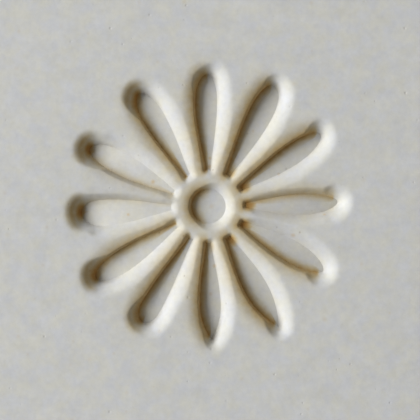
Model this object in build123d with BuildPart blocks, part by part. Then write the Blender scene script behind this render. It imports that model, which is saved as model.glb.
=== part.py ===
from build123d import *

import os
from math import cos, pi, radians, sin

# Hand stamp for clay: a fired clay die with a sunken daisy, on a cork bed and a
# beech mount block, drawn down onto a turned beech handle by one long screw.
# It stands on the flat end of its handle with the printing face up.
# Millimetres. Z = 0 is the handle's end, +Z runs up the handle to the face,
# and +Y is the top of the daisy.

# Height of the stack, from the handle's end up
handle_height = 52.0
mount_thickness = 15.0
cork_thickness = 2.0
die_thickness = 14.0

# Outline shared by the die and the mount block
face_side = 44.0
corner_radius = 4.0

# Clay die
face_edge_radius = 1.0
back_edge_chamfer = 0.5

# Sunken daisy: sizes of its mean petal and its disc, measured on their floors. A
# petal's floor falls from root to tip.
root_depth = 0.75
tip_depth = 1.4
disc_depth = 0.8
flower_radius = 11.9
root_radius = 3.33
petal_half_width = 1.05
disc_radius = 1.55

# How far the walls of the relief have spread where they reach the face
tip_spread = 1.9
side_spread = 1.65
root_spread = 0.6
disc_spread = 1.15

# Cork bed
cork_setback = 0.3

# Mount block, with a finger cove right round it
mount_edge_chamfer = 0.8
cove_radius = 6.0
cove_depth = 2.2

# Handle, turned
end_radius = 12.8
end_edge_chamfer = 0.9
pommel_radius = 16.5
pommel_height = 11.5
waist_radius = 7.4
waist_below_bead = 5.6
bead_radius = 9.8
bead_height = 3.6
neck_radius = 7.6
tenon_radius = 6.0
tenon_length = 8.0
tenon_chamfer = 0.6
groove_depth = 0.45
groove_place_shares = [0.34, 0.42]

# Brass ferrule on the handle's neck
ferrule_length = 8.0
ferrule_wall = 0.9
ferrule_lip_radius = 10.2
ferrule_lip_thickness = 1.2
ferrule_edge_chamfer = 0.3

# Long screw, its washer, and the wooden plug that hides its head. The head lies
# this far up the handle's end, which makes it a 60 mm screw.
head_sink = 10.0
screw_radius = 2.5
screw_tip_chamfer = 0.6
screw_tip_gap = 2.0
head_radius = 4.25
head_height = 5.0
head_edge_chamfer = 0.4
hex_across_flats = 4.0
hex_depth = 2.5
washer_radius = 5.2
washer_thickness = 1.0
plug_radius = 6.0
plug_thickness = 5.0
plug_setback = 0.4
plug_chamfer = 0.5

# Threaded insert in the back of the die
insert_radius = 3.75
insert_length = 8.0
insert_groove_depth = 0.35
insert_groove_width = 1.0

# Locating pins between the mount block and the die
pin_radius = 1.5
pin_offset = 13.0
pin_in_mount = 5.0
pin_in_die = 4.5
pin_chamfer = 0.3

# Fits
sliding_fit = 0.05
screw_clearance = 0.25
socket_gap = 0.05

# Petals anticlockwise from +X, each as cut by hand. Shares: root bearing and
# tip bearing off the even spacing, of one petal's pitch; reach, of the flower's
# radius; half width on the anticlockwise and the clockwise side, of the mean
# half width; place of the belly, of the petal's length; and how pointed the
# nose is, from 0.5 for round.
petal_shares = [
    (0.13, 0.07, 0.98, 0.80, 1.04, 0.60, 0.55),
    (-0.03, 0.11, 1.01, 0.84, 1.07, 0.65, 0.50),
    (-0.05, 0.07, 1.04, 1.01, 1.13, 0.70, 0.50),
    (0.00, 0.02, 1.00, 1.19, 0.76, 0.71, 0.50),
    (0.05, 0.06, 1.01, 1.06, 0.94, 0.74, 0.60),
    (0.22, 0.09, 0.99, 0.98, 1.07, 0.67, 0.50),
    (0.05, 0.09, 0.985, 1.26, 0.97, 0.76, 0.50),
    (0.03, 0.09, 1.01, 0.97, 0.98, 0.68, 0.50),
    (0.05, 0.00, 1.03, 0.84, 1.04, 0.82, 0.50),
    (0.00, 0.04, 1.00, 0.93, 1.00, 0.68, 0.90),
    (0.08, 0.01, 1.05, 0.95, 1.19, 0.58, 0.90),
    (0.08, 0.02, 1.00, 1.07, 0.94, 0.62, 0.60),
]
petal_pitch = 360.0 / len(petal_shares)

# Stations along one side of a petal, of the stretch they lie on
root_station_shares = [0.0, 0.08, 0.28, 0.6, 1.0]
nose_station_shares = [0.38, 0.68, 0.9, 1.0]
root_fullness_share = 1.05

# Walls of the relief, floor to face: depth left, spread of the sides and spread of
# the tip at each section. The sides rise steeply and then roll over into the face,
# while the tips climb at an even slant, as the tool leaves the clay.
steep_wall_shares = [(1.0, 0.0, 0.0), (0.3, 0.18, 0.43)]
rolled_wall_shares = [(0.3, 0.18, 0.43), (0.12, 0.46, 0.6), (0.0, 1.0, 1.0), (-0.04, 1.2, 1.1)]

# Planes of the stack
mount_back_z = handle_height
cork_back_z = mount_back_z + mount_thickness
die_back_z = cork_back_z + cork_thickness
face_z = die_back_z + die_thickness
insert_top_z = die_back_z + insert_length
screw_tip_z = insert_top_z - screw_tip_gap
under_head_z = head_sink + head_height
washer_top_z = under_head_z + washer_thickness
ferrule_foot_z = mount_back_z - ferrule_length
bead_foot_z = ferrule_foot_z - bead_height
waist_z = bead_foot_z - waist_below_bead
pin_foot_z = cork_back_z - pin_in_mount
pin_top_z = die_back_z + pin_in_die

bore_radius = screw_radius + screw_clearance
ferrule_bore_radius = neck_radius + sliding_fit
ferrule_radius = ferrule_bore_radius + ferrule_wall
cork_side = face_side - 2 * cork_setback
cork_corner_radius = corner_radius - cork_setback
cove_reach = face_side / 2 + cove_radius - cove_depth
square_corners = [(1, 1), (-1, 1), (-1, -1), (1, -1)]
insert_groove_shares = [0.3, 0.7]
pin_places = [(pin_offset, pin_offset), (-pin_offset, -pin_offset)]


def polar_point(radius, bearing):
    """Point of the face at this distance and bearing from the flower's centre."""
    return Vector(radius * cos(radians(bearing)), radius * sin(radians(bearing)))


def half_width(station, belly, nose):
    """Width of a petal's side at a station of its length, of its widest."""
    if station < belly:
        return sin(pi / 2.0 * (station / belly) ** root_fullness_share)
    past_belly = (station - belly) / (1.0 - belly)
    return max(0.0, 1.0 - past_belly**2) ** nose


def petal_section(index, depth_share, side_share, tip_share):
    """Tilted plane through a petal's walls at these shares, and the points down its two sides."""
    root_turn, tip_turn, reach, left, right, belly, nose = petal_shares[index]
    bearing = index * petal_pitch
    root = polar_point(
        root_radius - side_share * root_spread, bearing + root_turn * petal_pitch
    )
    tip = polar_point(
        reach * flower_radius + tip_share * tip_spread, bearing + tip_turn * petal_pitch
    )
    root += Vector(0, 0, face_z - depth_share * root_depth)
    tip += Vector(0, 0, face_z - depth_share * tip_depth)
    along = tip - root
    across = Vector(-along.Y, along.X)
    plane = Plane(origin=root, x_dir=along, z_dir=along.cross(across))
    stations = [share * belly for share in root_station_shares]
    stations += [belly + share * (1.0 - belly) for share in nose_station_shares]
    widths = [half_width(station, belly, nose) for station in stations]
    left_widest = left * petal_half_width + side_share * side_spread
    right_widest = right * petal_half_width + side_share * side_spread
    sides = [
        [(along.length * s, widest * w) for s, w in zip(stations, widths)]
        for widest in (left_widest, -right_widest)
    ]
    return plane, sides


def hole_up(z):
    """Plane at this height from which a hole feature bores upwards."""
    return Plane(origin=(0, 0, z), z_dir=(0, 0, -1))


# Clay die: a rounded block, its relief pressed into the face
with BuildPart() as clay_die:
    with BuildSketch(Plane.XY.offset(die_back_z)):
        RectangleRounded(face_side, face_side, corner_radius)
    extrude(amount=die_thickness)
    fillet(clay_die.faces().sort_by(Axis.Z)[-1].edges(), face_edge_radius)
    chamfer(clay_die.faces().sort_by(Axis.Z)[0].edges(), back_edge_chamfer)
    for petal in range(len(petal_shares)):
        for wall_shares in (steep_wall_shares, rolled_wall_shares):
            for section_shares in wall_shares:
                plane, sides = petal_section(petal, *section_shares)
                with BuildSketch(plane):
                    with BuildLine():
                        for side in sides:
                            Spline(*side)
                    make_face()
            loft(mode=Mode.SUBTRACT)
    # centre disc, its wall rolled over onto the ring between it and the petals
    with BuildSketch(Plane.XZ):
        with BuildLine():
            floor_z = face_z - disc_depth
            floor = Line((0, floor_z), (disc_radius, floor_z))
            rise = [
                (disc_radius + side_share * disc_spread, face_z - depth_share * disc_depth)
                for depth_share, side_share, _ in rolled_wall_shares
            ]
            wall = Line(floor @ 1, rise[0])
            roll = Spline(*rise)
            Polyline(roll @ 1, (0, (roll @ 1).Y), floor @ 0)
        make_face()
    revolve(axis=Axis.Z, mode=Mode.SUBTRACT)
    with Locations(hole_up(die_back_z)):
        Hole(insert_radius + sliding_fit, insert_length + socket_gap)
    with Locations(*[hole_up(die_back_z) * Location((x, -y)) for x, y in pin_places]):
        Hole(pin_radius + sliding_fit, pin_in_die + socket_gap)
clay_die.part.label = "clay_die"

# Threaded insert: a brass bush with grip grooves, set flush in the die's back
with BuildPart() as die_insert:
    with BuildSketch(Plane.XY.offset(die_back_z)):
        Circle(insert_radius)
        Circle(screw_radius + sliding_fit, mode=Mode.SUBTRACT)
    extrude(amount=insert_length)
    for groove_share in insert_groove_shares:
        with BuildSketch(Plane.XY.offset(die_back_z + groove_share * insert_length)):
            Circle(insert_radius)
            Circle(insert_radius - insert_groove_depth, mode=Mode.SUBTRACT)
        extrude(amount=insert_groove_width / 2, both=True, mode=Mode.SUBTRACT)
die_insert.part.label = "die_insert"

# Cork bed: cushions the brittle die on the wood
with BuildPart() as cork_bed:
    with BuildSketch(Plane.XY.offset(cork_back_z)):
        RectangleRounded(cork_side, cork_side, cork_corner_radius)
        Circle(bore_radius, mode=Mode.SUBTRACT)
        with Locations(*pin_places):
            Circle(pin_radius + sliding_fit, mode=Mode.SUBTRACT)
    extrude(amount=cork_thickness)
cork_bed.part.label = "cork_bed"

# Mount block: carries the die, with a socket for the handle's tenon
with BuildPart() as mount_block:
    with BuildSketch(Plane.XY.offset(mount_back_z)):
        RectangleRounded(face_side, face_side, corner_radius)
    extrude(amount=mount_thickness)
    chamfer(mount_block.faces().filter_by(Axis.Z).edges(), mount_edge_chamfer)
    with BuildLine(Plane.XY.offset(mount_back_z + mount_thickness / 2)) as cove_line:
        FilletPolyline(
            *[(x * cove_reach, y * cove_reach) for x, y in square_corners],
            radius=corner_radius + cove_radius - cove_depth,
            close=True,
        )
    with BuildSketch(Plane(cove_line.line @ 0, z_dir=cove_line.line % 0)):
        Circle(cove_radius)
    sweep(path=cove_line.line, mode=Mode.SUBTRACT)
    with Locations(hole_up(mount_back_z)):
        CounterBoreHole(
            bore_radius, tenon_radius + sliding_fit, tenon_length + socket_gap
        )
    with Locations(*[Plane.XY.offset(cork_back_z) * Location(p) for p in pin_places]):
        Hole(pin_radius + sliding_fit, pin_in_mount + socket_gap)
mount_block.part.label = "mount_block"

# Locating pins: keep the die from turning on the block
with BuildPart() as locating_pins:
    with BuildSketch(Plane.XY.offset(pin_foot_z)):
        with Locations(*pin_places):
            Circle(pin_radius)
    extrude(amount=pin_top_z - pin_foot_z)
    chamfer(locating_pins.edges().filter_by(GeomType.CIRCLE), pin_chamfer)
locating_pins.part.label = "locating_pins"

# Handle: flat end, broad pommel, waist, bead, ferrule neck and tenon
with BuildPart() as handle:
    with BuildSketch(Plane.XZ):
        with BuildLine():
            foot = Line((0, 0), (end_radius, 0))
            palm = TangentArc((pommel_radius, pommel_height), foot @ 1, tangent=(0, -1))
            swell = Spline(
                palm @ 0, (waist_radius, waist_z), tangents=[(0, 1), (0, 1)]
            )
            flare = Spline(
                swell @ 1, (ferrule_radius, bead_foot_z), tangents=[(0, 1), (1, 2)]
            )
            bead = ThreePointArc(
                flare @ 1,
                (bead_radius, bead_foot_z + bead_height / 2),
                (ferrule_radius, ferrule_foot_z),
            )
            Polyline(
                bead @ 1,
                (neck_radius, ferrule_foot_z),
                (neck_radius, handle_height),
                (tenon_radius, handle_height),
                (tenon_radius, handle_height + tenon_length),
                (0, handle_height + tenon_length),
                foot @ 0,
            )
        make_face()
    revolve(axis=Axis.Z)
    chamfer(handle.edges().group_by(Axis.Z)[-1], tenon_chamfer)
    chamfer(handle.edges().group_by(Axis.Z)[0], end_edge_chamfer)
    for share in groove_place_shares:
        with BuildSketch(Plane.XZ):
            with Locations(swell @ share):
                Rectangle(2 * groove_depth, 2 * groove_depth, rotation=45)
        revolve(axis=Axis.Z, mode=Mode.SUBTRACT)
    with Locations(hole_up(0)):
        CounterBoreHole(bore_radius, plug_radius + sliding_fit, washer_top_z)
handle.part.label = "handle"

# Ferrule: brass collar on the neck, its lip bearing on the mount block
with BuildPart() as ferrule:
    with BuildSketch(Plane.XY.offset(ferrule_foot_z)):
        Circle(ferrule_radius)
    extrude(amount=ferrule_length)
    with BuildSketch(Plane.XY.offset(mount_back_z - ferrule_lip_thickness)):
        Circle(ferrule_lip_radius)
    extrude(amount=ferrule_lip_thickness)
    chamfer(ferrule.edges().filter_by(GeomType.CIRCLE), ferrule_edge_chamfer)
    with BuildSketch(Plane.XY.offset(ferrule_foot_z)):
        Circle(ferrule_bore_radius)
    extrude(amount=ferrule_length, mode=Mode.SUBTRACT)
ferrule.part.label = "ferrule"

# Long screw: draws the die, cork, block and handle together
with BuildPart() as long_screw:
    with BuildSketch(Plane.XY.offset(under_head_z - head_height)):
        Circle(head_radius)
    extrude(amount=head_height)
    chamfer(long_screw.edges().group_by(Axis.Z)[0], head_edge_chamfer)
    with BuildSketch(Plane.XY.offset(under_head_z)):
        Circle(screw_radius)
    extrude(amount=screw_tip_z - under_head_z)
    chamfer(long_screw.edges().group_by(Axis.Z)[-1], screw_tip_chamfer)
    with BuildSketch(Plane.XY.offset(under_head_z - head_height)):
        RegularPolygon(hex_across_flats / 2, 6, major_radius=False)
    extrude(amount=hex_depth, mode=Mode.SUBTRACT)
long_screw.part.label = "long_screw"

with BuildPart() as washer:
    with BuildSketch(Plane.XY.offset(under_head_z)):
        Circle(washer_radius)
        Circle(bore_radius, mode=Mode.SUBTRACT)
    extrude(amount=washer_thickness)
washer.part.label = "washer"

# Plug: a wooden button pushed into the counterbore over the screw's head
with BuildPart() as end_plug:
    with BuildSketch(Plane.XY.offset(plug_setback)):
        Circle(plug_radius)
    extrude(amount=plug_thickness)
    chamfer(end_plug.edges().filter_by(GeomType.CIRCLE), plug_chamfer)
end_plug.part.label = "end_plug"

parts = [
    clay_die,
    die_insert,
    cork_bed,
    mount_block,
    locating_pins,
    handle,
    ferrule,
    long_screw,
    washer,
    end_plug,
]
os.makedirs("parts", exist_ok=True)
for made in parts:
    export_step(made.part, f"parts/{made.part.label}.step")
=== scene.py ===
import math

import bpy
import bmesh
import numpy as np
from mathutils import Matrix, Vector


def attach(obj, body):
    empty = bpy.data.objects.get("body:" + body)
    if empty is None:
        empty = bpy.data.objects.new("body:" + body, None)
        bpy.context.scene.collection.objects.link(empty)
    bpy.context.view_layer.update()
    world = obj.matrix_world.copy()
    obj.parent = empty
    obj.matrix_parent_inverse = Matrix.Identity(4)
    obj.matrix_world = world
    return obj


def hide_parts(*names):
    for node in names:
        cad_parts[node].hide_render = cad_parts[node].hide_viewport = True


# Hand stamp for clay, dressed for looks. Metres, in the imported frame: the stamp
# stands on the flat end of its handle, with the printing face up.
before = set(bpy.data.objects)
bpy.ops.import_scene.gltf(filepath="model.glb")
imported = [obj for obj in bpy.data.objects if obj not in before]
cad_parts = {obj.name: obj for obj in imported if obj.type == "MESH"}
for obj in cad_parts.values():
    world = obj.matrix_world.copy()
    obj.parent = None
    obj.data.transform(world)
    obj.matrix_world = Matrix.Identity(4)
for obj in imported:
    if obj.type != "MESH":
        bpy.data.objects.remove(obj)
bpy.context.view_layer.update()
mm = 0.001
fullTurn = 2 * math.pi


# Small helpers for arrays and meshes

def millimetres(**sizes):
    # a dictionary of sizes in metres, from sizes in millimetres
    return {name: (np.array(size) * mm).tolist() for name, size in sizes.items()}


def polar(radius, bearing):
    return np.stack([radius * np.cos(bearing), radius * np.sin(bearing)], axis=-1)


def smoothStep(share):
    share = np.clip(share, 0, 1)
    return share * share * (3 - 2 * share)


def closeTo(values, place, reach):
    # 1 at a place, falling smoothly to 0 at a reach from it
    return 1 - smoothStep(np.abs(values - place) / reach)


def bearingSteps(count):
    return np.arange(count) * fullTurn / count


# large odd numbers that scramble a lattice corner's place into a number with no pattern
scramble = {"place": (73856093, 19349663, 83492791), "seed": 2654435761, "again": 1274126177}


def latticeNoise(points, size, seed):
    # value noise: a scrambled number from -1 to 1 at each lattice corner, blended smoothly between
    cell = np.floor(points / size).astype(np.int64)
    part = smoothStep(points / size - cell)
    total = np.zeros(len(points))
    for corner in np.ndindex(2, 2, 2):
        mixed = np.bitwise_xor.reduce((cell + corner) * scramble["place"], axis=1)
        mixed ^= seed * scramble["seed"]
        mixed = (mixed ^ (mixed >> 13)) * scramble["again"] & 0xFFFFFFFF
        weight = np.prod(np.where(corner, part, 1 - part), axis=1)
        total += weight * ((mixed ^ (mixed >> 16)) % 65536 / 32767.5 - 1)
    return total


def lumps(points, sizes, seed, fineShare=1.0):
    # value noise of a coarse and a fine size together
    coarse, fine = sizes
    return latticeNoise(points, coarse, seed) + fineShare * latticeNoise(points, fine, seed + 1)


def pressIn(points, depth, radius):
    # moves points towards the axis by a depth, on a piece of about this radius
    points[:, :2] *= (1 - depth / radius)[:, None]


def roundedSquare(bearing, halfSide, corner):
    # distance from the centre to a square with round corners, along each bearing
    near = np.minimum(np.abs(np.cos(bearing)), np.abs(np.sin(bearing)))
    far = np.maximum(np.abs(np.cos(bearing)), np.abs(np.sin(bearing)))
    onSide = halfSide / far
    middle = halfSide - corner
    lean = middle * (near + far)
    onCorner = lean + np.sqrt(np.maximum(lean**2 - 2 * middle**2 + corner**2, 0))
    return np.where(onSide * near <= middle, onSide, onCorner)


def squareRing(bearings, halfSide, corner, inset):
    # flat ring on a square with round corners, brought in on every side by an inset
    return polar(roundedSquare(bearings, halfSide - inset, corner - inset), bearings)


def atHeight(flat, height):
    return np.column_stack([flat, np.broadcast_to(height, len(flat))])


def turnedRows(profile, columns):
    # points of a profile of (radius, height) rows turned about Z
    bearings = bearingSteps(columns)
    return np.concatenate([atHeight(polar(radius, bearings), height)
                           for radius, height in profile])


def squareRows(profile, halfSide, corner, columns):
    # points of a profile of (inset, height) rows carried round a square with round corners
    bearings = bearingSteps(columns)
    return np.concatenate([atHeight(squareRing(bearings, halfSide, corner, inset), height)
                           for inset, height in profile])


def gridFaces(rows, columns, wrapRows=False):
    # quads of a grid whose columns close on themselves
    row = np.arange(rows if wrapRows else rows - 1)[:, None]
    column = np.arange(columns)[None, :]
    nextRow, nextColumn = (row + 1) % rows, (column + 1) % columns
    corners = [row * columns + column, nextRow * columns + column,
               nextRow * columns + nextColumn, row * columns + nextColumn]
    corners = [np.broadcast_to(corner, (len(row), columns)) for corner in corners]
    return np.stack(corners, -1).reshape(-1, 4)


def addObject(name, data):
    added = bpy.data.objects.new(name, data)
    bpy.context.scene.collection.objects.link(added)
    return added


def makePiece(name, blocks, replaced, slot, material, sharpAngle, attributes=()):
    # blocks are (points, faces) pairs, sewn together where their points meet
    points = np.concatenate([block[0] for block in blocks])
    starts = np.cumsum([0] + [len(block[0]) for block in blocks[:-1]])
    faces = np.concatenate([block[1] + start for block, start in zip(blocks, starts)])
    mesh = bpy.data.meshes.new(name)
    mesh.from_pydata(points.tolist(), [], faces.tolist())
    for attributeName, values in attributes:
        mesh.attributes.new(attributeName, "FLOAT", "POINT").data.foreach_set("value", values)
    sewn = bmesh.new()
    sewn.from_mesh(mesh)
    bmesh.ops.remove_doubles(sewn, verts=sewn.verts, dist=0.0005 * mm)
    sewn.to_mesh(mesh)
    sewn.free()
    mesh.polygons.foreach_set("use_smooth", [True] * len(mesh.polygons))
    mesh.set_sharp_from_angle(angle=math.radians(sharpAngle))
    piece = addObject(name, mesh)
    piece.data.materials.append(material)
    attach(piece, "root")
    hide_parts(replaced)
    print("piece", name, len(mesh.polygons), "faces")


def makeRings(name, points, columns, closed, *finish):
    # a piece of rings of points, the last ring joined to the first where it is closed
    makePiece(name, [(points, gridFaces(len(points) // columns, columns, closed))], *finish)


# Node groups and materials

def isSocket(value):
    return isinstance(value, bpy.types.NodeSocket)


def feed(target, value):
    # links a socket to an input, or sets the input's own value
    if isSocket(value):
        target.id_data.links.new(value, target)
    else:
        target.default_value = value


def addNode(kind, inputs, tree=None, **options):
    # a shader node with its options set, in the tree of the sockets that feed it; each input is
    # a socket or a value
    inputs = dict(inputs)
    tree = tree or next(value for value in inputs.values() if isSocket(value)).id_data
    node = tree.nodes.new("ShaderNode" + kind)
    for name, value in options.items():
        setattr(node, name, value)
    for key, value in inputs.items():
        feed(node.inputs[key], value)
    return node


def calc(operation, *values):
    return addNode("Math", enumerate(values), operation=operation).outputs[0]


def times(first, second):
    return calc("MULTIPLY", first, second)


def multiplyAdd(value, factor, more):
    return calc("MULTIPLY_ADD", value, factor, more)


def vectorCalc(operation, *values):
    return addNode("VectorMath", enumerate(values), operation=operation).outputs[0]


def scaled(vector, factor):
    return addNode("VectorMath", {0: vector, 3: factor}, operation="SCALE").outputs[0]


def attribute(where, name):
    return addNode("Attribute", (), where.id_data, attribute_name=name).outputs["Fac"]


def rescale(value, low, high, newLow=0.0, newHigh=1.0):
    # carries low..high to newLow..newHigh, and holds the ends
    return addNode("MapRange", {"Value": value, "From Min": low, "From Max": high,
                                "To Min": newLow, "To Max": newHigh}).outputs[0]


def mixColour(share, first, second, blend="MIX"):
    first, second = [colour if isSocket(colour) else (*colour, 1) for colour in (first, second)]
    return addNode("Mix", {0: share, 6: first, 7: second}, data_type="RGBA",
                   blend_type=blend).outputs[2]


def noise(where, size, detail=2.0, roughness=0.5, output="Fac"):
    # noise from 0 to 1, its lumps about this size across
    scale = calc("DIVIDE", 1.0, size) if isSocket(size) else 1 / size
    return addNode("TexNoise", {"Vector": where, "Scale": scale, "Detail": detail,
                                "Roughness": roughness}).outputs[output]


def newGroup(name, outputs, **inputs):
    # a shared effect, worked out from a place and from numbers or vectors that a material may
    # change; it puts out numbers
    tree = bpy.data.node_groups.new(name, "ShaderNodeTree")
    for socketName, value in {"Where": (0, 0, 0), **inputs}.items():
        kind = "NodeSocketVector" if isinstance(value, tuple) else "NodeSocketFloat"
        socket = tree.interface.new_socket(socketName, in_out="INPUT", socket_type=kind)
        socket.default_value = value
    for socketName in outputs:
        tree.interface.new_socket(socketName, in_out="OUTPUT", socket_type="NodeSocketFloat")
    given, result = tree.nodes.new("NodeGroupInput"), tree.nodes.new("NodeGroupOutput")
    return given.outputs, result.inputs


def useGroup(name, where, **inputs):
    group = bpy.data.node_groups[name]
    return addNode("Group", {"Where": where, **inputs}, node_tree=group).outputs


def newMaterial(name):
    material = bpy.data.materials.new(name)
    material.use_nodes = True
    tree = material.node_tree
    where = addNode("TexCoord", (), tree).outputs["Object"]
    return material, where, tree.nodes["Principled BSDF"].inputs


def dress(shader, colour, height, reach, roughness):
    # a surface's colour, its bumps of this reach and its roughness
    feed(shader["Base Color"], colour)
    feed(shader["Normal"], addNode("Bump", {"Height": height, "Distance": reach}).outputs[0])
    feed(shader["Roughness"], roughness)


def mottle(where, look):
    size, amount = look
    return useGroup("mottle", where, Size=size, Amount=amount)["Factor"]


def specks(where, look):
    spacing, radius, share = look
    return useGroup("specks", where, Spacing=spacing, Radius=radius, Share=share)


# specks: radii as shares of the given one, and where a speck's edge fades; the figure of beech:
# how it bends, and how far each part is drawn out along the grain; tarnish: where patches fade
effects = millimetres(bendSize=30, bendReach=4, fibreSize=0.35) | dict(
    speckSizes=(0.5, 1.3), speckEdge=(0.3, 1.2), ringStretch=(1, 1, 0.06), earlyWood=0.12,
    fibreStretch=(1, 1, 0.05), fleckStretch=(1, 1, 0.16), flecks=(0.85 * mm, 0.17 * mm, 0.6),
    turningStretch=(0.03, 0.03, 1), patchEdge=(0.42, 0.7), caughtEdge=(0.2, 0.6),
)


def buildSpecks():
    # round spots strewn at random: one in each cell of a Voronoi pattern, some left out
    given, result = newGroup("specks", ["Mask", "Pick"], Spacing=1 * mm, Radius=0.1 * mm,
                             Share=0.5)
    scale = calc("DIVIDE", 1.0, given["Spacing"])
    cells = addNode("TexVoronoi", {"Vector": given["Where"], "Scale": scale})
    picks = addNode("SeparateColor", {0: cells.outputs["Color"]}).outputs
    kept = calc("LESS_THAN", picks[0], given["Share"])
    away = times(cells.outputs["Distance"], given["Spacing"])
    size = times(given["Radius"], rescale(picks[1], 0, 1, *effects["speckSizes"]))
    edge = rescale(calc("DIVIDE", away, size), *effects["speckEdge"], 1, 0)
    feed(result["Mask"], times(kept, edge))
    feed(result["Pick"], picks[2])


def buildMottle():
    # cloudy light and dark patches, as a factor about 1
    given, result = newGroup("mottle", ["Factor"], Size=5 * mm, Amount=0.05)
    cloud = noise(given["Where"], given["Size"], 4, 0.55)
    spread = times(calc("SUBTRACT", cloud, 0.5), 2.0)
    feed(result["Factor"], multiplyAdd(spread, given["Amount"], 1.0))


def buildWoodGrain():
    # beech with its grain along Z: growth rings about a line off to the side, fine fibres and
    # the short dark flecks of its rays
    given, result = newGroup("woodGrain", ["Rings", "Fibre", "Flecks"], Heart=(0, 0, 0),
                             RingSize=2.5 * mm)
    bend = noise(given["Where"], effects["bendSize"], 1, 0.5, "Color")
    shift = scaled(bend, effects["bendReach"])
    fromHeart = vectorCalc("SUBTRACT", given["Where"], given["Heart"])
    bent = vectorCalc("ADD", fromHeart, shift)
    flat = vectorCalc("MULTIPLY", bent, effects["ringStretch"])
    reach = addNode("VectorMath", {0: flat}, operation="LENGTH").outputs["Value"]
    growth = calc("FRACT", calc("DIVIDE", reach, given["RingSize"]))
    late = calc("POWER", growth, 3.0)
    early = rescale(growth, 0.0, effects["earlyWood"], 1.0, 0.0)
    feed(result["Rings"], calc("MAXIMUM", late, early))
    drawnOut = vectorCalc("MULTIPLY", fromHeart, effects["fibreStretch"])
    feed(result["Fibre"], noise(drawnOut, effects["fibreSize"], 3, 0.65))
    streaks = vectorCalc("MULTIPLY", fromHeart, effects["fleckStretch"])
    feed(result["Flecks"], specks(streaks, effects["flecks"])["Mask"])


def buildTurning():
    # fine tool lines round Z, as a lathe leaves, as a height from 0 to 1
    given, result = newGroup("turning", ["Height"], Spacing=0.3 * mm)
    roundAbout = vectorCalc("MULTIPLY", given["Where"], effects["turningStretch"])
    feed(result["Height"], noise(roundAbout, given["Spacing"], 3, 0.7))


def buildTarnish():
    # dulled patches on metal, thickest where the dirt attribute says, broken up by a noise
    given, result = newGroup("tarnish", ["Mask"], Size=4 * mm, Amount=0.4)
    patch = noise(given["Where"], given["Size"], 6, 0.62)
    spread = times(rescale(patch, *effects["patchEdge"]), given["Amount"])
    caught = times(attribute(given["Where"], "dirt"), rescale(patch, *effects["caughtEdge"]))
    feed(result["Mask"], calc("MAXIMUM", spread, caught))


for build in (buildSpecks, buildMottle, buildWoodGrain, buildTurning, buildTarnish):
    build()
print("node groups built")

clay = millimetres(tintSize=1.3, washBreakSize=0.5, grainSize=0.16, bumpReach=0.02) | dict(
    colour=(0.507, 0.508, 0.493), coolTint=(0.98, 0.985, 1.03), warmTint=(1.03, 1.01, 0.94),
    # the wash filter holds an iron wash together with painted shade in the die's hollows; the pit
    # colour is painted shade in the pits
    washFilter=(0.7, 0.41, 0.125), rustColour=(0.46, 0.33, 0.16), pitColour=(0.20, 0.16, 0.13),
    # size and amount
    mottle=(1.6 * mm, 0.1), fineMottle=(0.45 * mm, 0.1),
    # spacing, radius and share of cells that hold a speck; then power, faintest and strongest
    rust=((1.25 * mm, 0.2 * mm, 0.5), (2.5, 0.1, 0.65)),
    pits=((1.15 * mm, 0.1 * mm, 0.5), (2.0, 0.1, 0.6)), washBreak=(0.3, 0.7, 0.75, 1.1),
    grainHeight=0.3, roughness=(0.3, 0.7, 0.82, 0.95),
)


def clayMaterial():
    material, where, shader = newMaterial("firedClay")

    def speckled(colour, look, speckColour):
        # colour with specks over it, each of its own strength, and the specks' mask
        spread, (power, faintest, strongest) = look
        spots = specks(where, spread)
        strength = rescale(calc("POWER", spots["Pick"], power), 0, 1, faintest, strongest)
        shown = times(spots["Mask"], strength)
        return mixColour(shown, colour, speckColour), spots["Mask"]

    clouds = times(mottle(where, clay["mottle"]), mottle(where, clay["fineMottle"]))
    colour = mixColour(1.0, clay["colour"], clouds, "MULTIPLY")
    cast = rescale(noise(where, clay["tintSize"], 3, 0.6), 0.35, 0.65)
    tint = mixColour(cast, clay["coolTint"], clay["warmTint"])
    colour = mixColour(1.0, colour, tint, "MULTIPLY")
    colour, _ = speckled(colour, clay["rust"], clay["rustColour"])
    # painted shade: the pits are coloured dark as their shadow, and also sunk in the bump height
    colour, pits = speckled(colour, clay["pits"], clay["pitColour"])
    # the iron wash and painted shade take up light as a filter does: each channel's share, to the
    # power of their amount
    broken = rescale(noise(where, clay["washBreakSize"], 3), *clay["washBreak"])
    wash = times(attribute(where, "stain"), broken)
    channels = {channel: calc("POWER", share, wash)
                for channel, share in enumerate(clay["washFilter"])}
    filtered = addNode("CombineXYZ", channels).outputs[0]
    colour = mixColour(1.0, colour, filtered, "MULTIPLY")
    grain = noise(where, clay["grainSize"], 4, 0.6)
    height = calc("SUBTRACT", times(grain, clay["grainHeight"]), pits)
    dress(shader, colour, height, clay["bumpReach"], rescale(grain, *clay["roughness"]))
    return material


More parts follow.
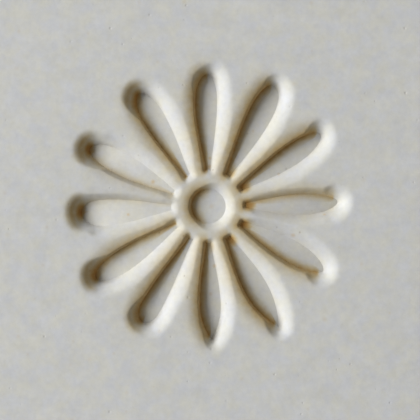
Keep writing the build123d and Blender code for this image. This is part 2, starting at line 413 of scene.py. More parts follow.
# Clay die: a pressed block with the daisy sunk into its face
die = millimetres(
    faceZ=83, thickness=14, side=44, corner=4, faceEdge=1, backChamfer=0.5, rootDepth=0.5,
    tipDepth=1.25, tipPress=0.36, discDepth=0.75, flowerRadius=11.9, rootRadius=3.33,
    petalHalfWidth=1.05, discRadius=1.55, ringRadius=2.75, outerRadius=14.6,
    # walls at a root, a side and a tip, where the tool leaned away and where it leaned over
    steepSpread=((0.32, 0.2, 1.65), (0.65, 1.45, 1.65)),
    rolledSpread=((0.7, 1.35, 1.8), (0.8, 1.65, 1.8)), floorStainReach=0.37, wallStainReach=0.57,
    rootStainReach=0.5, tipStainReach=0.5, rimStainPlace=1.15, rimStainReach=0.28, insertRadius=3.8,
    insertDepth=8.05, backRing=10
) | dict(
    # places along a petal, in shares of its length
    throatStation=0.1, noseStation=0.86, rampStation=0.62, wipeStation=0.95, rootStainStation=0.03,
    discStation=0.14, rootWallStation=0.35,
    # how soon a steep wall falls off: root, side and tip, as for the spreads
    steepPower=((1.6, 1.6, 2.3), (1.7, 2.0, 2.3)),
    # middle and change, for wall lean, tip push, and wash with painted shade kept on shaded walls
    # (plus a drift)
    lean=(0.55, 0.85), push=(0.3, 0.8), wipe=(0.2, 0.9, 0.15),
    # where a tip's ramp starts and how soon it is whole, as cosines off the petal's line
    rampCone=(0.74, 0.22), rootWidthShare=0.2, rootFullness=1.1, rolledShare=0.28, blend=3.0,
    floorStain=0.035, rootStain=1.45, tipStain=1.6, rampStain=0.5, rimStain=0.3, wipeBearing=172.0,
    # height, size and seed
    waves=((0.018 * mm, 7 * mm, 3), (0.006 * mm, 2.2 * mm, 4)),
    discShares=[0, 0.4, 0.7, 0.88, 0.96, 0.99], ringRows=22, ringPower=1.2, faceRows=7, edgeRows=9,
    sideRows=13, rootSteps=30, noseSteps=26, ringSteps=6, rimSteps=14, wallRows=26, rowPower=1.5,
    floorShares=[0.3, 0.6, 0.8, 0.9, 0.96, 0.985, 1.0],
    # root turn, tip turn, reach, half widths either side, belly, nose, sinking at the root
    petalShares=[
        (0.08, 0.07, 0.98, 0.74, 1.04, 0.62, 0.55, 0.55),
        (-0.03, 0.10, 1.01, 0.76, 1.02, 0.65, 0.50, 0.90),
        (-0.06, 0.05, 1.04, 0.93, 1.13, 0.72, 0.45, 1.00),
        (0.00, 0.01, 1.00, 1.10, 0.78, 0.73, 0.50, 1.00),
        (0.13, 0.06, 1.00, 0.90, 0.98, 0.74, 0.55, 1.00),
        (0.27, 0.13, 1.00, 0.90, 1.07, 0.67, 0.50, 0.75),
        (0.05, 0.09, 0.965, 1.26, 0.97, 0.76, 0.45, 0.55),
        (0.03, 0.09, 1.01, 0.97, 0.94, 0.68, 0.50, 0.85),
        (0.05, 0.01, 1.01, 0.84, 0.90, 0.84, 0.50, 1.00),
        (0.00, 0.04, 1.00, 0.90, 0.88, 0.66, 0.85, 1.00),
        (0.08, 0.01, 1.05, 0.93, 1.08, 0.58, 0.90, 1.00),
        (0.08, 0.02, 1.00, 1.05, 0.87, 0.62, 0.60, 0.85),
    ],
)
petalCount = len(die["petalShares"])
petalPitch = fullTurn / petalCount
wipe = polar(1.0, math.radians(die["wipeBearing"]))


def petalShape(index):
    # one petal: its root, its line to the tip, and its half widths either side at each station,
    # with the root cut off square
    rootTurn, tipTurn, reach, left, right, belly, nose, _ = die["petalShares"][index]
    root = polar(die["rootRadius"], (index + rootTurn) * petalPitch)
    along = polar(reach * die["flowerRadius"], (index + tipTurn) * petalPitch) - root
    across = np.array([-along[1], along[0]]) / np.linalg.norm(along)
    toBelly = np.linspace(0, 1, die["rootSteps"] + 1)
    toTip = np.sin(np.linspace(0, math.pi / 2, die["noseSteps"] + 1))[1:]
    stations = np.concatenate([[0], belly * toBelly, belly + (1 - belly) * toTip])
    swell = np.sin(math.pi / 2 * toBelly ** die["rootFullness"])
    widths = np.concatenate([[0], die["rootWidthShare"] + (1 - die["rootWidthShare"]) * swell,
                             np.maximum(1 - toTip**2, 0) ** nose]) * die["petalHalfWidth"]
    return root, along, across, stations, left * widths, right * widths


def petalLoop(index):
    # outline of a petal's floor, anticlockwise from its root
    root, along, across, stations, left, right = petalShape(index)
    middle = root + stations[:, None] * along
    rightSide = middle - right[:, None] * across
    leftSide = middle + left[:, None] * across
    return np.concatenate([rightSide, leftSide[-2:0:-1]])


def cellLoop(index):
    # border of the sector round a petal, point for point with its outline
    steps = np.arange(die["rootSteps"] + die["noseSteps"] + 2)
    rim = len(steps) - 1 - die["rimSteps"]
    turn = np.minimum(steps / die["ringSteps"], (steps[-1] - steps) / die["rimSteps"])
    turn = np.clip(turn, 0, 1)
    out = np.clip((steps - die["ringSteps"]) / (rim - die["ringSteps"]), 0, 1)
    radius = die["ringRadius"] + out * (die["outerRadius"] - die["ringRadius"])
    rightSide = polar(radius, (index - turn / 2) * petalPitch)
    leftSide = polar(radius, (index + turn / 2) * petalPitch)
    return np.concatenate([rightSide, leftSide[-2:0:-1]])


def distanceTo(loop, points):
    # distance from each point to the nearest segment of a closed loop
    run = np.roll(loop, -1, axis=0) - loop
    found = []
    for part in np.array_split(points, max(1, len(points) // 6000)):
        reach = part[:, None, :] - loop
        share = np.clip((reach * run).sum(2) / (run**2).sum(1), 0, 1)
        found.append(np.sqrt(((reach - share[..., None] * run) ** 2).sum(2).min(1)))
    return np.concatenate(found)


def tipPush(unit):
    # how far the tool was pushed in at a petal's tip: the more, the more the petal points away
    # from where the tool leaned
    middle, change = die["push"]
    return smoothStep(middle + change * (unit @ wipe))


def facing(points, start, end):
    # unit directions to points from the nearest place on a line
    run = end - start
    away = points - start - np.clip((points - start) @ run / (run @ run), 0, 1)[:, None] * run
    return away / np.maximum(np.linalg.norm(away, axis=1), 0.001 * mm)[:, None]


def wallFall(gap, depth, station, ramp, outward):
    # depth left at a distance from a floor: a steep wall and a rolled shoulder, each one less
    # the distance over its spread, to a power; sizes change from root to side to tip, and from
    # the side that the tool leaned away from to the side that it leaned over
    middle, change = die["lean"]
    leaned = smoothStep(middle - change * (outward @ wipe))

    def sized(name):
        root, side, tip = [away + (over - away) * leaned for away, over in zip(*die[name])]
        size = root + (side - root) * smoothStep(station / die["rootWallStation"])
        return size + (tip - size) * ramp

    steep = np.clip(1 - gap / sized("steepSpread"), 0, 1) ** sized("steepPower")
    rolled = np.clip(1 - gap / sized("rolledSpread"), 0, 1) ** 2
    return depth * (steep + (rolled - steep) * die["rolledShare"])


def washKept(outward, place):
    # share of iron wash and painted shade on a wall facing this way: most where it faces away from
    # the key light, least where lit
    middle, change, drift = die["wipe"]
    return smoothStep(middle + change * (outward @ wipe) - drift * (place @ wipe))


def creviceStain(gap, inside):
    # wash and painted shade at a floor's shaded edge: exp(-(distance / reach)^1.5) over the floor,
    # and a slower fall up the wall
    return np.where(inside, np.exp(-(gap / die["floorStainReach"]) ** 1.5),
                    np.exp(-(gap / die["wallStainReach"]) ** 1.15))


def reliefDrop(points):
    # depth below the face at each point, and the wash with painted shade: walls blend as (a^n +
    # b^n)^(1/n), which rounds the ridges between two petals
    blended, stain = np.zeros((2, len(points)))
    nearest, deepest = np.full((2, len(points)), 1.0)
    radius = np.maximum(np.hypot(*points.T), 0.01 * mm)
    place = points / radius[:, None]

    def addHollow(gap, depth, station, ramp, outward):
        blended[:] += wallFall(gap, depth / mm, station, ramp, outward) ** die["blend"]
        deepest[:] = np.where(gap < nearest, depth, deepest)
        nearest[:] = np.minimum(gap, nearest)

    def addStain(share):
        stain[:] = np.maximum(stain, share)

    for index in range(petalCount):
        root, along, across, stations, left, right = petalShape(index)
        unit = along / np.linalg.norm(along)
        throat = root + die["throatStation"] * along
        station = (points - root) @ along / (along @ along)
        offset = (points - root) @ across
        inside = (station > 0) & (station < 1)
        inside &= (offset <= np.interp(station, stations, left))
        inside &= (offset >= -np.interp(station, stations, right))
        gap = distanceTo(petalLoop(index), points)
        outward = facing(points, throat, root + die["noseStation"] * along)
        # painted shade: wash is kept on walls that face away from the key light, so their shade is
        # painted darker
        kept = washKept(facing(points, root, root + die["wipeStation"] * along), place)
        addStain(kept * creviceStain(gap, inside))
        spilt = np.exp(-(gap / die["floorStainReach"]) ** 2)
        addStain(die["floorStain"] * np.where(inside, 1, spilt))
        # an orange pool of wash at each root, kept where the root's end faces away from the light:
        # part real wash, part painted shade
        fromRoot = np.linalg.norm(points - root - die["rootStainStation"] * along, axis=1)
        pooled = np.exp(-(fromRoot / die["rootStainReach"]) ** 2)
        addStain(die["rootStain"] * washKept(-unit[None], place) * pooled)
        # beyond a tip, where the tool was lifted out, the wall turns into a ramp
        fromNose = facing(points, throat, root + die["rampStation"] * along) @ unit
        coneStart, coneWidth = die["rampCone"]
        ramp = tipPush(unit) * smoothStep((fromNose - coneStart) / coneWidth)
        ramp = np.where(inside, 0, ramp)
        # painted shade: a dark wash blob and rim in the ramps of tips that point towards the light,
        # darkening their shaded ends
        fromRim = (gap - die["rimStainPlace"]) / die["rimStainReach"]
        rampStain = die["rampStain"] * smoothStep(-fromRim)
        addStain(kept * ramp * (rampStain + die["rimStain"] * np.exp(-fromRim**2)))
        addStain(die["tipStain"] * kept * ramp * np.exp(-(gap / die["tipStainReach"]) ** 2))
        sinking = die["petalShares"][index][7]
        reached = np.clip(station, 0, 1)
        depth = die["rootDepth"] + (die["tipDepth"] - die["rootDepth"]) * reached
        depth *= sinking + (1 - sinking) * reached**2
        depth += die["tipPress"] * tipPush(unit) * reached**4
        addHollow(np.where(inside, 0, gap), depth, station, ramp, outward)
    gap = radius - die["discRadius"]
    # the disc's edge gets the wash with painted shade, most on its side that faces away from the
    # light
    addStain(washKept(place, -place) * creviceStain(np.abs(gap), gap < 0))
    addHollow(np.maximum(gap, 0), die["discDepth"], die["discStation"], 0.0, place)
    return np.minimum(mm * blended ** (1 / die["blend"]), deepest), stain


def onFace(flat):
    # puts flat points on the face: sunk by the relief, with the faint waves of a hand-made slab
    drop, stain = reliefDrop(flat)
    deep = np.column_stack([flat, np.zeros(len(flat))])
    wave = sum(height * latticeNoise(deep, size, seed) for height, size, seed in die["waves"])
    return np.column_stack([flat, die["faceZ"] - drop + wave]), stain


def makeDie(material):
    blocks, stains = [], []

    def addGrid(points, stain, rows, columns):
        blocks.append((points, gridFaces(rows, columns)))
        stains.append(stain)

    # disc and ring, from the centre out
    bearings = bearingSteps(2 * petalCount * die["ringSteps"])
    ringShares = np.linspace(0, 1, die["ringRows"]) ** die["ringPower"]
    radii = np.concatenate([
        die["discRadius"] * np.array(die["discShares"]),
        die["discRadius"] + (die["ringRadius"] - die["discRadius"]) * ringShares])
    flat = polar(radii[:, None], bearings[None, :]).reshape(-1, 2)
    addGrid(*onFace(flat), len(radii), len(bearings))

    # petals, each from its middle to its floor's edge, up its wall and out to its sector's border
    wallShares = np.linspace(0, 1, die["wallRows"] + 1)[1:] ** die["rowPower"]
    for index in range(petalCount):
        root, along, *_ = petalShape(index)
        middle = root + die["petalShares"][index][5] * along
        loop, border = petalLoop(index), cellLoop(index)
        rings = [middle + share * (loop - middle) for share in [0.0] + die["floorShares"]]
        rings += [loop + share * (border - loop) for share in wallShares]
        addGrid(*onFace(np.concatenate(rings)), len(rings), len(loop))

    # outside the flower: face, rolled edge, sides, back and the pocket for the insert
    columns = 2 * petalCount * die["rimSteps"]
    bearings = bearingSteps(columns)
    half, corner, edge = die["side"] / 2, die["corner"], die["faceEdge"]
    faceRing = squareRing(bearings, half, corner, edge)
    start = polar(die["outerRadius"], bearings)
    shares = np.linspace(0, 1, die["faceRows"])
    face, stain = onFace(np.concatenate([start + s * (faceRing - start) for s in shares]))
    lift = face[-columns:, 2] - die["faceZ"]
    backZ = die["faceZ"] - die["thickness"]
    outline = [(edge * (1 - math.sin(tilt)),
                die["faceZ"] - edge * (1 - math.cos(tilt)) + lift * math.cos(tilt))
               for tilt in np.linspace(0, math.pi / 2, die["edgeRows"])[1:]]
    sideHeights = np.linspace(die["faceZ"] - edge, backZ + die["backChamfer"], die["sideRows"])
    outline += [(0, height) for height in sideHeights[1:]] + [(die["backChamfer"], backZ)]
    pocketZ = backZ + die["insertDepth"]
    inner = [(die["backRing"], backZ), (die["insertRadius"], backZ),
             (die["insertRadius"], pocketZ), (0, pocketZ)]
    points = np.concatenate([face, squareRows(outline, half, corner, columns),
                             turnedRows(inner, columns)])
    stain = np.concatenate([stain, np.zeros(len(points) - len(stain))])
    addGrid(points, stain, len(points) // columns, columns)
    makePiece("clayDie", blocks, "clay_die", "fired_clay", material, 50,
              [("stain", np.concatenate(stains))])


makeDie(clayMaterial())


# Turned pieces and cut blocks, made of rings round Z

def rounded(cornerRows, count=6):
    # rows of (radius, height), where a corner given as (radius, height, size) is eased by a
    # quadratic curve from one edge to the other, pulled to the corner
    rows = []
    befores, afters = cornerRows[-1:] + cornerRows[:-1], cornerRows[1:] + cornerRows[:1]
    for before, here, after in zip(befores, cornerRows, afters):
        at = np.array(here[:2])
        if len(here) == 2:
            rows.append(at)
            continue
        back, on = [(np.array(other[:2]) - at) / np.linalg.norm(np.array(other[:2]) - at)
                    for other in (before, after)]
        for share in np.linspace(0, 1, count):
            rows.append(at + here[2] * ((1 - share) ** 2 * back + share**2 * on))
    return rows


def cubicCurve(start, end, startPull, endPull, count):
    # points of a cubic from start to end, leaving and arriving along the pulls
    share = np.linspace(0, 1, count)[:, None]
    back = 1 - share
    start, end, startPull, endPull = map(np.array, (start, end, startPull, endPull))
    return (back**2 * (1 + 2 * share) * start + share**2 * (1 + 2 * back) * end
            + share * back**2 * startPull - share**2 * back * endPull)


def reachOf(points):
    return np.hypot(points[:, 0], points[:, 1])


def ringed(heights, places, amount, reach):
    # an amount at each of some places, falling smoothly to 0 at a reach from it
    return sum(amount * closeTo(heights, place, reach) for place in places)


# what all the oiled beech shares
oiled = millimetres(smudgeSize=2.5, bumpReach=0.03) | dict(
    mottle=(9 * mm, 0.1),
    # patches of smudge, and what they let through
    grime=(0.3, 0.6, 0.45, 1.0), dust=(0.45, 0.65, 0.0, 0.75), fibreHeight=0.5, fleckHeight=0.3,
    smudgeRoughness=0.3, dustRoughness=0.3, specular=0.4,
)


def woodMaterial(name, look):
    # oiled beech: rings, fibres and flecks over a mottle, dirt in the grooves, dulled by handling;
    # its tones are of the rings, the fibres, the flecks and the tool's lines
    material, where, shader = newMaterial(name)
    rings, fibres, flecks, toolLines = look["tones"]
    along = where
    if look["grainAlong"] == "X":
        parts = addNode("SeparateXYZ", {0: where}).outputs
        along = addNode("CombineXYZ", {0: parts[1], 1: parts[2], 2: parts[0]}).outputs[0]
    grain = useGroup("woodGrain", along, Heart=look["heart"], RingSize=look["ringSize"])
    fibre = times(rescale(grain["Fibre"], 0.3, 0.7), fibres)
    tone = multiplyAdd(grain["Rings"], rings, fibre)
    colour = mixColour(tone, look["pale"], look["dark"])
    colour = mixColour(times(grain["Flecks"], flecks), colour, look["fleck"])
    clouds = mottle(where, oiled["mottle"])
    colour = mixColour(1.0, colour, clouds, "MULTIPLY")
    smudge = noise(where, oiled["smudgeSize"], 5, 0.65)
    grime = times(attribute(where, "dirt"), rescale(smudge, *oiled["grime"]))
    colour = mixColour(grime, colour, look["grime"])
    dust = times(attribute(where, "dust"), rescale(smudge, *oiled["dust"]))
    colour = mixColour(dust, colour, clay["colour"])
    lines = useGroup("turning", where)["Height"]
    ridges = multiplyAdd(lines, toolLines, times(grain["Fibre"], oiled["fibreHeight"]))
    height = calc("SUBTRACT", ridges, times(grain["Flecks"], oiled["fleckHeight"]))
    dull = multiplyAdd(smudge, oiled["smudgeRoughness"], look["roughness"])
    dull = multiplyAdd(dust, oiled["dustRoughness"], dull)
    dress(shader, colour, height, oiled["bumpReach"], dull)
    feed(shader["Specular IOR Level"], oiled["specular"])
    return material


# what brass and steel share
satin = millimetres(scuffSize=0.12, bumpReach=0.012) | dict(
    mottle=(2 * mm, 0.06), scuffHeight=0.4, lineRoughness=0.14, dullRoughness=0.28,
)


def metalMaterial(name, look):
    # satin metal with turned lines, dull patches, and fine scratches that run round it
    material, where, shader = newMaterial(name)
    dull = useGroup("tarnish", where, Size=look["patchSize"],
                    Amount=look["patchAmount"])["Mask"]
    clouds = mottle(where, satin["mottle"])
    bright = mixColour(1.0, look["bright"], clouds, "MULTIPLY")
    colour = mixColour(dull, bright, look["dull"])
    lines = useGroup("turning", where, Spacing=look["lineSpacing"])["Height"]
    scuffs = noise(where, satin["scuffSize"], 4, 0.7)
    height = multiplyAdd(scuffs, satin["scuffHeight"], lines)
    rough = multiplyAdd(lines, satin["lineRoughness"], look["roughness"])
    rough = multiplyAdd(dull, satin["dullRoughness"], rough)
    dress(shader, colour, height, satin["bumpReach"], rough)
    feed(shader["Metallic"], 1.0)
    return material


# Cork bed: agglomerated cork, its sides crumbled between the granules
cork = millimetres(
    side=43.4, corner=3.7, backZ=67, thickness=2, boreRadius=2.75, edge=0.18, innerInset=4,
    crumble=0.2, crumbSizes=(0.7, 0.3), granule=1.15, warpSize=0.9, warpReach=0.45, grainSize=0.22,
    bumpReach=0.09
) | dict(
    columns=672, sideRows=15, edgeEase=0.3, fineCrumbs=0.6, granuleTone=0.75, granuleHeight=0.5,
    grainTone=0.35, seamEdge=(0.02, 0.12), seamTone=0.6, bark=(1.6 * mm, 0.3 * mm, 0.4),
    barkTone=0.7, roughness=0.9, pale=(0.50, 0.325, 0.175), dark=(0.30, 0.165, 0.08),
    binder=(0.16, 0.085, 0.04),
)


def corkMaterial():
    material, where, shader = newMaterial("cork")
    warp = noise(where, cork["warpSize"], 2, 0.5, "Color")
    bent = vectorCalc("ADD", where, scaled(warp, cork["warpReach"]))
    granules = {"Vector": bent, "Scale": 1 / cork["granule"]}
    cells = addNode("TexVoronoi", granules)
    picks = addNode("SeparateColor", {0: cells.outputs["Color"]}).outputs
    borders = addNode("TexVoronoi", granules, feature="DISTANCE_TO_EDGE")
    seam = rescale(borders.outputs["Distance"], *cork["seamEdge"], 1.0, 0.0)
    seam = times(seam, cork["seamTone"])
    grain = noise(where, cork["grainSize"], 4, 0.6)
    tone = multiplyAdd(grain, cork["grainTone"], times(picks[0], cork["granuleTone"]))
    colour = mixColour(tone, cork["pale"], cork["dark"])
    colour = mixColour(seam, colour, cork["binder"])
    bark = times(specks(where, cork["bark"])["Mask"], cork["barkTone"])
    colour = mixColour(bark, colour, cork["binder"])
    bulge = calc("SUBTRACT", times(picks[1], cork["granuleHeight"]), seam)
    height = multiplyAdd(grain, cork["grainTone"], bulge)
    dress(shader, colour, height, cork["bumpReach"], cork["roughness"])
    return material


def makeCork(material):
    back, top, columns = cork["backZ"], cork["backZ"] + cork["thickness"], cork["columns"]
    edge, eased = cork["edge"], cork["edgeEase"] * cork["edge"]
    easing = [(cork["innerInset"], 0), (edge, 0), (eased, eased)]
    outline = [(inset, top - drop) for inset, drop in easing]
    outline += [(0, height) for height in np.linspace(top - edge, back + edge, cork["sideRows"])]
    outline += [(inset, back + drop) for inset, drop in reversed(easing)]
    points = squareRows(outline, cork["side"] / 2, cork["corner"], columns)
    crumbs = np.clip(lumps(points, cork["crumbSizes"], 11, cork["fineCrumbs"]), 0, 1)
    onRim = np.repeat([0, 0] + [1] * (len(outline) - 4) + [0, 0], columns)
    pressIn(points, cork["crumble"] * crumbs * onRim, reachOf(points))
    bore = turnedRows([(cork["boreRadius"], back), (cork["boreRadius"], top)], columns)
    makeRings("corkBed", np.concatenate([points, bore]), columns, True,
              "cork_bed", "cork", material, 60)


makeCork(corkMaterial())


# Mount block: beech, grain along X, with a finger cove round its sides
block = millimetres(
    side=44, corner=4, backZ=52, thickness=15, edge=0.8, coveRadius=6, coveDepth=2.2,
    socketRadius=6.05, socketDepth=8.05, boreRadius=2.75, innerInset=6, dentDepth=0.03,
    dentSizes=(3, 1.1), dentRadius=17.6
) | dict(
    coveRows=29, columns=360, edgeRows=8, flatRows=5, dentLevel=0.7, coveDust=0.5,
    # amount and reach
    topDust=(0.6, 3 * mm), footGrime=(0.5, 2.5 * mm),
    look=dict(
        grainAlong="X", heart=(0.071, 0.021, 0.0), ringSize=2.6 * mm, tones=(0.55, 0.5, 0.6, 0.0),
        roughness=0.32, pale=(0.60, 0.395, 0.225), dark=(0.42, 0.245, 0.125),
        fleck=(0.27, 0.135, 0.06), grime=(0.13, 0.075, 0.035),
    ),
)


def coveRows():
    # inset of the cove at heights down the side: its circle's middle lies outside the block
    middleOut = block["coveRadius"] - block["coveDepth"]
    middleZ = block["backZ"] + block["thickness"] / 2
    lipTurn = math.acos(middleOut / block["coveRadius"])
    turns = np.linspace(lipTurn, -lipTurn, block["coveRows"])
    insets = block["coveRadius"] * np.cos(turns) - middleOut
    return list(zip(insets, middleZ + block["coveRadius"] * np.sin(turns)))


def makeBlock(material):
    back, top, columns = block["backZ"], block["backZ"] + block["thickness"], block["columns"]
    edge, cove = block["edge"], coveRows()
    easing = [(block["innerInset"], 0)]
    easing += [(edge * (1 - math.sin(turn)), edge * (1 - math.cos(turn)))
               for turn in np.linspace(0, math.pi / 2, block["edgeRows"])]
    above = np.linspace(top - edge, cove[0][1], block["flatRows"])[1:-1]
    below = np.linspace(cove[-1][1], back + edge, block["flatRows"])[1:-1]
    outline = [(inset, top - drop) for inset, drop in easing]
    outline += [(0, height) for height in above] + cove + [(0, height) for height in below]
    outline += [(inset, back + drop) for inset, drop in reversed(easing)]
    points = squareRows(outline, block["side"] / 2, block["corner"], columns)
    dents = np.clip(lumps(points, block["dentSizes"], 21) - block["dentLevel"], 0, 1)
    pressIn(points, block["dentDepth"] * dents, block["dentRadius"])
    socketTop = back + block["socketDepth"]
    inner = turnedRows([(block["socketRadius"], back), (block["socketRadius"], socketTop),
                        (block["boreRadius"], socketTop), (block["boreRadius"], top)], columns)
    rows = np.concatenate([points, inner])
    heights = rows[:, 2]
    # dried clay settles in the cove and along the top, hand grime under the lower lip
    insets = np.repeat([inset for inset, _ in outline] + [0] * (len(inner) // columns), columns)
    onSide = (heights < top - edge) * (heights > back + edge)
    dust = np.clip(insets / block["coveDepth"], 0, 1) * onSide * block["coveDust"]
    dust += ringed(heights, [top], *block["topDust"])
    grime = ringed(heights, [back], *block["footGrime"])
    makeRings("mountBlock", rows, columns, True, "mount_block", "beech_block", material, 40,
              [("dust", dust), ("dirt", grime)])


makeBlock(woodMaterial("beechBlock", block["look"]))


# Handle: turned beech, from the tenon down to the flat end and up its bore
handle = millimetres(
    endRadius=12.8, endEdge=0.9, pommelRadius=16.5, pommelZ=11.5, palmArc=19.72, swellPull=32.4,
    waistRadius=7.4, waistZ=34.8, flarePull=5.7, collarRadius=8.55, beadFootZ=40.4, beadTopZ=44,
    beadRadius=9.8, neckRadius=7.6, shoulderZ=52, tenonRadius=6, tenonTopZ=60, tenonEdge=0.6,
    grooveHeights=(19.65, 21.36), grooveHalf=0.55, grooveDepth=0.62, counterbore=6.05,
    counterboreZ=16, boreRadius=2.75, boreEdge=0.3, dentDepth=0.05, dentSizes=(4, 1.3), dustZ=36
) | dict(
    columns=144, beadRows=22, flareRows=16, swellRows=170, palmRows=30, endRows=9, dentLevel=0.75,
    # amount and reach
    grooveDirt=(0.95, 0.55 * mm), beadDirt=(0.8, 0.7 * mm), footDirt=(0.45, 1.2 * mm),
    waistDirt=(0.22, 7 * mm), dust=(0.5, 6 * mm),
    look=dict(
        grainAlong="Z", heart=(0.034, -0.052, 0.0), ringSize=2.3 * mm, tones=(0.5, 0.5, 0.6, 0.55),
        roughness=0.27, pale=(0.57, 0.365, 0.20), dark=(0.39, 0.22, 0.11),
        fleck=(0.25, 0.12, 0.055), grime=(0.11, 0.06, 0.028),
    ),
)


def beadArc(count):
    # bulge between two rings: circle through its foot, its middle and its top
    half = (handle["beadTopZ"] - handle["beadFootZ"]) / 2
    rise = handle["beadRadius"] - handle["collarRadius"]
    radius = (half**2 + rise**2) / (2 * rise)
    turns = np.linspace(1, -1, count) * math.asin(half / radius)
    return np.column_stack([handle["beadRadius"] - radius + radius * np.cos(turns),
                            handle["beadFootZ"] + half + radius * np.sin(turns)])


def makeHandle(material):
    edge, columns, grooves = handle["endEdge"], handle["columns"], handle["grooveHeights"]
    tenon, tenonTop, neckRadius = handle["tenonRadius"], handle["tenonTopZ"], handle["neckRadius"]
    neck = [(tenon - handle["tenonEdge"], tenonTop), (tenon, tenonTop - handle["tenonEdge"]),
            (tenon, handle["shoulderZ"]), (neckRadius, handle["shoulderZ"]),
            (neckRadius, handle["beadTopZ"])]
    waist = (handle["waistRadius"], handle["waistZ"])
    lean = handle["flarePull"] / math.sqrt(5)
    flare = cubicCurve(waist, (handle["collarRadius"], handle["beadFootZ"]),
                       (0, handle["flarePull"]), (lean, 2 * lean), handle["flareRows"])[::-1]
    pull = (0, handle["swellPull"])
    swell = cubicCurve((handle["pommelRadius"], handle["pommelZ"]), waist, pull, pull,
                       handle["swellRows"])[::-1]
    swell[:, 0] -= ringed(swell[:, 1], grooves, handle["grooveDepth"], handle["grooveHalf"])
    palmArc = handle["palmArc"]
    turns = np.linspace(0, -math.asin(handle["pommelZ"] / palmArc), handle["palmRows"])
    palm = np.column_stack([handle["pommelRadius"] - palmArc + palmArc * np.cos(turns),
                            handle["pommelZ"] + palmArc * np.sin(turns)])
    # the edge of the end, rounded off by a quadratic curve
    palm = palm[palm[:, 1] > edge]
    foot, corner = [np.array([handle["endRadius"] - inset, 0]) for inset in (edge, 0)]
    end = [(1 - t) ** 2 * palm[-1] + 2 * t * (1 - t) * corner + t**2 * foot
           for t in np.linspace(0, 1, handle["endRows"])[1:]]
    mouth, mouthZ, boreEdge = handle["counterbore"], handle["counterboreZ"], handle["boreEdge"]
    inner = [(mouth + boreEdge, 0), (mouth, boreEdge), (mouth, mouthZ),
             (handle["boreRadius"], mouthZ), (handle["boreRadius"], tenonTop)]
    points = turnedRows(np.concatenate([neck, beadArc(handle["beadRows"]), flare[1:], swell[1:],
                                        palm[1:], end, inner]), columns)
    outer = reachOf(points) > handle["waistRadius"] - handle["grooveDepth"]
    dents = np.clip(lumps(points, handle["dentSizes"], 31) - handle["dentLevel"], 0, 1)
    pressIn(points, handle["dentDepth"] * dents * outer, handle["pommelRadius"])
    heights = points[:, 2]
    beadEnds = (handle["beadFootZ"], handle["beadTopZ"])
    dirt = ringed(heights, grooves, *handle["grooveDirt"])
    dirt += ringed(heights, beadEnds, *handle["beadDirt"])
    dirt += ringed(heights, [0], *handle["footDirt"])
    dirt += ringed(heights, [handle["waistZ"]], *handle["waistDirt"])
    # clay dust lies from the waist up
    amount, reach = handle["dust"]
    dust = amount * smoothStep((heights - handle["dustZ"]) / reach)
    makeRings("handle", points, columns, True, "handle", "beech_handle", material, 40,
              [("dirt", np.clip(dirt * outer, 0, 1)), ("dust", dust * outer)])


makeHandle(woodMaterial("beechHandle", handle["look"]))


# Ferrule: turned brass collar with a lip against the block
collar = millimetres(
    footZ=44, topZ=52, boreRadius=7.65, radius=8.55, lipRadius=10.2, lipThickness=1.2, edge=0.3,
    innerEdge=0.15, lineHeights=(45.6, 46.3), lineHalf=0.2, lineDepth=0.12, lipDirtOut=0.4
) | dict(
    columns=128, wallRows=60,
    # amount and reach
    lineDirt=(0.9, 0.26 * mm), footDirt=(0.7, 0.5 * mm), lipDirt=(0.9, 0.5 * mm),
)
brassLook = dict(
    bright=(0.73, 0.52, 0.21), dull=(0.28, 0.17, 0.065), patchSize=3.5 * mm, patchAmount=0.55,
    lineSpacing=0.12 * mm, roughness=0.2,
)


def makeCollar(material):
    radius, bore, lip, edge = [collar[name] for name in
                               ("radius", "boreRadius", "lipRadius", "edge")]
    foot, top, lipZ = collar["footZ"], collar["topZ"], collar["topZ"] - collar["lipThickness"]
    outline = rounded([(bore, top), (lip, top, edge), (lip, lipZ, edge),
                       (radius, lipZ, collar["innerEdge"]), (radius, foot, edge), (bore, foot)])
    # two turned lines in the wall, between its eased ends
    split = next(i for i, row in enumerate(outline) if abs(row[0] - radius) < 1e-9)
    heights = np.linspace(outline[split][1], outline[split + 1][1], collar["wallRows"])[1:-1]
    cuts = ringed(heights, collar["lineHeights"], collar["lineDepth"], collar["lineHalf"])
    wall = np.column_stack([radius - cuts, heights])
    profile = np.concatenate([outline[:split + 1], wall, outline[split + 1:]])
    points = turnedRows(profile, collar["columns"])
    heights = points[:, 2]
    dirt = ringed(heights, [lipZ], *collar["lipDirt"])
    dirt *= reachOf(points) < radius + collar["lipDirtOut"]
    dirt += ringed(heights, collar["lineHeights"], *collar["lineDirt"])
    dirt += ringed(heights, [foot], *collar["footDirt"])
    makeRings("ferrule", points, collar["columns"], True, "ferrule", "brass", material, 40,
              [("dirt", np.clip(dirt, 0, 1))])


brass = metalMaterial("brass", brassLook)
makeCollar(brass)


# End plug: wooden button in the counterbore, end grain showing
plug = millimetres(radius=6, footZ=0.4, topZ=5.4, edge=0.5, crown=0.15) | dict(
    columns=96, rimDirt=(0.8, 1.1 * mm),
    look=dict(
        grainAlong="Z", heart=(0.011, 0.016, 0.0), ringSize=1.7 * mm, tones=(0.6, 0.45, 0.5, 0.2),
        roughness=0.35, pale=(0.50, 0.31, 0.165), dark=(0.32, 0.175, 0.085),
        fleck=(0.20, 0.095, 0.042), grime=(0.10, 0.055, 0.026),
    ),
)


def makePlug(material):
    radius, top, foot, edge = [plug[name] for name in ("radius", "topZ", "footZ", "edge")]
    outline = rounded([(0, top), (radius, top, edge), (radius, foot, edge), (0, foot)])[:-1]
    # its foot swells down a little in the middle: crown times (1 - share^2)
    rim = outline[-1][0]
    outline += [(share * rim, foot - plug["crown"] * (1 - share**2))
                for share in np.linspace(0.9, 0, 8)]
    points = turnedRows(outline, plug["columns"])
    dirt = ringed(reachOf(points), [radius], *plug["rimDirt"])
    makeRings("endPlug", points, plug["columns"], False, "end_plug", "beech_plug", material, 40,
              [("dirt", dirt)])


makePlug(woodMaterial("beechPlug", plug["look"]))


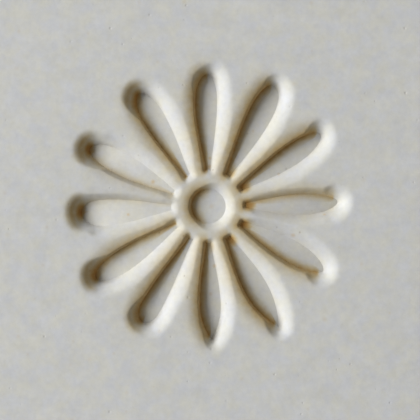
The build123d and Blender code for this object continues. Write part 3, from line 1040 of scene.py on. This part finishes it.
# Hidden hardware keeps its CAD shapes and gets the same metals
steelLook = dict(
    bright=(0.60, 0.60, 0.585), dull=(0.36, 0.35, 0.33), patchSize=2.2 * mm, patchAmount=0.45,
    lineSpacing=0.2 * mm, roughness=0.28,
)
steel = metalMaterial("zincedSteel", steelLook)
metals = {"die_insert": brass, "locating_pins": steel, "long_screw": steel, "washer": steel}
for node, material in metals.items():
    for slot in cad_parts[node].material_slots:
        slot.material = material


# Studio: pale floor, soft key light low on the left, weak warm light back from the right
studio = millimetres(frameWidth=37.8, frameMiddle=(0.135, -0.333)) | dict(
    cameraDistance=0.4, sensorWidth=36, floorSize=4, floorColour=(0.82, 0.81, 0.79),
    floorRoughness=0.8, backdrop=(0.9, 0.9, 0.89), skyLevel=0.24, skyColour=(1, 0.985, 0.965),
    # bearing, elevation, distance, width, height, power, colour
    lamps=dict(
        keyLight=(169.0, 29.0, 0.8, 1.0, 0.42, 12.95, (0.966, 0.982, 1.0)),
        bounceLight=(-8.0, 22.0, 1.2, 1.0, 1.0, 0.3, (1, 0.95, 0.9)),
    ),
)


def makeStudio():
    scene = bpy.context.scene
    scene.view_settings.view_transform = "Standard"
    bpy.ops.mesh.primitive_plane_add(size=studio["floorSize"])
    floor = bpy.context.object
    floor.name = "floor"
    material, _, shader = newMaterial("paleFloor")
    feed(shader["Base Color"], (*studio["floorColour"], 1))
    feed(shader["Roughness"], studio["floorRoughness"])
    floor.data.materials.append(material)
    world = bpy.data.worlds.new("studio")
    scene.world = world
    world.use_nodes = True
    tree = world.node_tree
    fill = tree.nodes["Background"]
    feed(fill.inputs["Color"], (*studio["skyColour"], 1))
    feed(fill.inputs["Strength"], studio["skyLevel"])
    seen = addNode("Background", {"Color": (*studio["backdrop"], 1)}, tree)
    rays = addNode("LightPath", (), tree).outputs
    straight = calc("MAXIMUM", rays["Is Camera Ray"],
                    calc("MAXIMUM", rays["Is Glossy Ray"], rays["Is Transmission Ray"]))
    mixer = addNode("MixShader", {0: straight, 1: fill.outputs[0], 2: seen.outputs[0]})
    feed(tree.nodes["World Output"].inputs["Surface"], mixer.outputs[0])
    centre = Vector((0, 0, die["faceZ"]))
    for name, (bearing, rise, away, width, height, power, colour) in studio["lamps"].items():
        lamp = bpy.data.lights.new(name, "AREA")
        lamp.shape = "RECTANGLE"
        lamp.size, lamp.size_y, lamp.energy, lamp.color = width, height, power, colour
        light = addObject(name, lamp)
        light.visible_camera = False
        rise, bearing = math.radians(rise), math.radians(bearing)
        outward = Vector((*(math.cos(rise) * polar(1.0, bearing)), math.sin(rise)))
        light.location = centre + away * outward
        light.rotation_euler = outward.to_track_quat("Z", "Y").to_euler()
    cameraData = bpy.data.cameras.new("camera")
    cameraData.sensor_width = studio["sensorWidth"]
    cameraData.lens = studio["sensorWidth"] * studio["cameraDistance"] / studio["frameWidth"]
    camera = addObject("camera", cameraData)
    camera.location = (*studio["frameMiddle"], die["faceZ"] + studio["cameraDistance"])
    scene.camera = camera
    print("studio made")


makeStudio()
